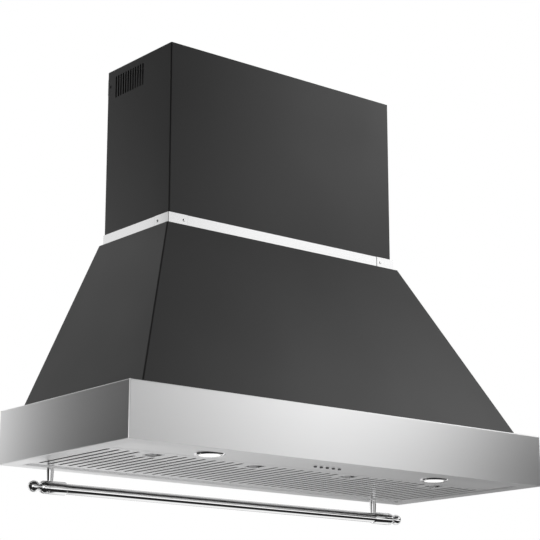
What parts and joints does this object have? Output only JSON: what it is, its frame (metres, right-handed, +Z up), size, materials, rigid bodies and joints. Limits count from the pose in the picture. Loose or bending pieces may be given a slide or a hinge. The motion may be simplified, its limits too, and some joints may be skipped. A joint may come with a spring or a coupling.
{
  "type": "wall-mounted range hood",
  "caption": "Wall-mounted range hood with a brushed steel base, a black sloped canopy and chimney, a polished trim band, baffle filters and a chrome rail.",
  "frame": {"origin": "centre of the four screw holes of the wall hooks, on the plane of the wall", "axes": "+X along the wall to the right as seen from the room, +Y into the wall, +Z up"},
  "size_m": [1.2, 0.5, 1.0345],
  "materials": {
    "brushed_steel": "horizontal brushed stainless steel, satin",
    "polished_steel": "fine-ground stainless steel, nearly a mirror",
    "baffle_steel": "mill-finish stainless steel, dull, inside the filters",
    "galvanised_steel": "bare zinc-coated sheet steel, dull",
    "black_paint": "black powder coat, satin",
    "polished_trim": "polished stainless steel strip",
    "chrome": "bright chrome plate",
    "button_metal": "turned metal cap, bright rim",
    "lamp_lens": "frosted white lens, lit",
    "dark_plastic": "moulded black plastic",
    "grey_plastic": "moulded grey plastic",
    "circuit_board": "green circuit board"
  },
  "bodies": {
    "hood": {"base_shell": "brushed_steel", "base_rear_panel": "brushed_steel", "underside_panel": "polished_steel", "latch_keepers": "polished_steel", "base_top_panel": "galvanised_steel", "filter_rear_rail": "galvanised_steel", "filter_front_rail": "galvanised_steel", "back_plate": "galvanised_steel", "wall_hooks": "galvanised_steel", "post_nuts": "galvanised_steel", "motor_box": "galvanised_steel", "motor_bracket": "galvanised_steel", "outlet_collar": "galvanised_steel", "body_screws": "galvanised_steel", "canopy_shell": "black_paint", "band_front": "polished_trim", "band_left": "polished_trim", "band_right": "polished_trim", "band_corners": "polished_trim", "band_screws": "polished_trim", "rail_tube": "chrome", "rail_posts": "chrome", "rail_sleeves": "chrome", "rail_finials": "chrome", "light_bezels": "chrome", "damper_pin": "chrome", "light_lenses": "lamp_lens", "lamp_bodies": "dark_plastic", "control_housing": "dark_plastic", "button_switches": "dark_plastic", "motor_casing": "dark_plastic", "terminal_box": "dark_plastic", "blower_housing": "grey_plastic", "lamp_driver": "grey_plastic", "control_board": "circuit_board"},
    "filter_1": {"filter_1_face": "polished_steel", "filter_1_frame": "baffle_steel"},
    "latch_1": {"filter_1_latch": "polished_steel"},
    "filter_2": {"filter_2_face": "polished_steel", "filter_2_frame": "baffle_steel"},
    "latch_2": {"filter_2_latch": "polished_steel"},
    "filter_3": {"filter_3_face": "polished_steel", "filter_3_frame": "baffle_steel"},
    "latch_3": {"filter_3_latch": "polished_steel"},
    "filter_4": {"filter_4_face": "polished_steel", "filter_4_frame": "baffle_steel"},
    "latch_4": {"filter_4_latch": "polished_steel"},
    "fan_off_key": {"fan_off_button": "button_metal"},
    "low_speed_key": {"low_speed_button": "button_metal"},
    "middle_speed_key": {"middle_speed_button": "button_metal"},
    "high_speed_key": {"high_speed_button": "button_metal"},
    "light_key": {"light_button": "button_metal"},
    "chimney_cover": {"chimney": "black_paint", "vent_cowls": "black_paint", "chimney_bracket": "galvanised_steel", "chimney_screws": "black_paint"},
    "fan_wheel": {"impeller": "galvanised_steel", "motor_shaft": "chrome"},
    "front_flap": {"front_damper_flap": "dark_plastic"},
    "rear_flap": {"rear_damper_flap": "dark_plastic"}
  },
  "joints": [
    {"name": "filter_1_tilt", "type": "hinge", "parent": "hood", "child": "filter_1", "pos_m": [0, -0.0482, -0.3822], "axis": [1, 0, 0], "range_deg": [0, 85]},
    {"name": "filter_2_tilt", "type": "hinge", "parent": "hood", "child": "filter_2", "pos_m": [0, -0.0482, -0.3822], "axis": [1, 0, 0], "range_deg": [0, 85]},
    {"name": "filter_3_tilt", "type": "hinge", "parent": "hood", "child": "filter_3", "pos_m": [0, -0.0482, -0.3822], "axis": [1, 0, 0], "range_deg": [0, 85]},
    {"name": "filter_4_tilt", "type": "hinge", "parent": "hood", "child": "filter_4", "pos_m": [0, -0.0482, -0.3822], "axis": [1, 0, 0], "range_deg": [0, 85]},
    {"name": "latch_1_slide", "type": "slide", "parent": "filter_1", "child": "latch_1", "axis": [0, 1, 0], "range_m": [0, 0.005], "stiffness_N_per_m": 400, "springref_m": -0.01},
    {"name": "latch_2_slide", "type": "slide", "parent": "filter_2", "child": "latch_2", "axis": [0, 1, 0], "range_m": [0, 0.005], "stiffness_N_per_m": 400, "springref_m": -0.01},
    {"name": "latch_3_slide", "type": "slide", "parent": "filter_3", "child": "latch_3", "axis": [0, 1, 0], "range_m": [0, 0.005], "stiffness_N_per_m": 400, "springref_m": -0.01},
    {"name": "latch_4_slide", "type": "slide", "parent": "filter_4", "child": "latch_4", "axis": [0, 1, 0], "range_m": [0, 0.005], "stiffness_N_per_m": 400, "springref_m": -0.01},
    {"name": "fan_off_press", "type": "slide", "parent": "hood", "child": "fan_off_key", "axis": [0, 0, 1], "range_m": [0, 0.0015], "stiffness_N_per_m": 600, "springref_m": -0.002},
    {"name": "low_speed_press", "type": "slide", "parent": "hood", "child": "low_speed_key", "axis": [0, 0, 1], "range_m": [0, 0.0015], "stiffness_N_per_m": 600, "springref_m": -0.002},
    {"name": "middle_speed_press", "type": "slide", "parent": "hood", "child": "middle_speed_key", "axis": [0, 0, 1], "range_m": [0, 0.0015], "stiffness_N_per_m": 600, "springref_m": -0.002},
    {"name": "high_speed_press", "type": "slide", "parent": "hood", "child": "high_speed_key", "axis": [0, 0, 1], "range_m": [0, 0.0015], "stiffness_N_per_m": 600, "springref_m": -0.002},
    {"name": "light_press", "type": "slide", "parent": "hood", "child": "light_key", "axis": [0, 0, 1], "range_m": [0, 0.0015], "stiffness_N_per_m": 600, "springref_m": -0.002},
    {"name": "chimney_slide", "type": "slide", "parent": "hood", "child": "chimney_cover", "axis": [0, 0, 1], "range_m": [-0.08, 0.18]},
    {"name": "fan_spin", "type": "hinge", "parent": "hood", "child": "fan_wheel", "pos_m": [0, -0.11873, -0.13863], "axis": [1, 0, 0], "continuous": true},
    {"name": "front_flap_swing", "type": "hinge", "parent": "hood", "child": "front_flap", "pos_m": [0, -0.1746, 0.0498], "axis": [-1, 0, 0], "range_deg": [0, 80]},
    {"name": "rear_flap_swing", "type": "hinge", "parent": "hood", "child": "rear_flap", "pos_m": [0, -0.1746, 0.0498], "axis": [1, 0, 0], "range_deg": [0, 80]}
  ]
}
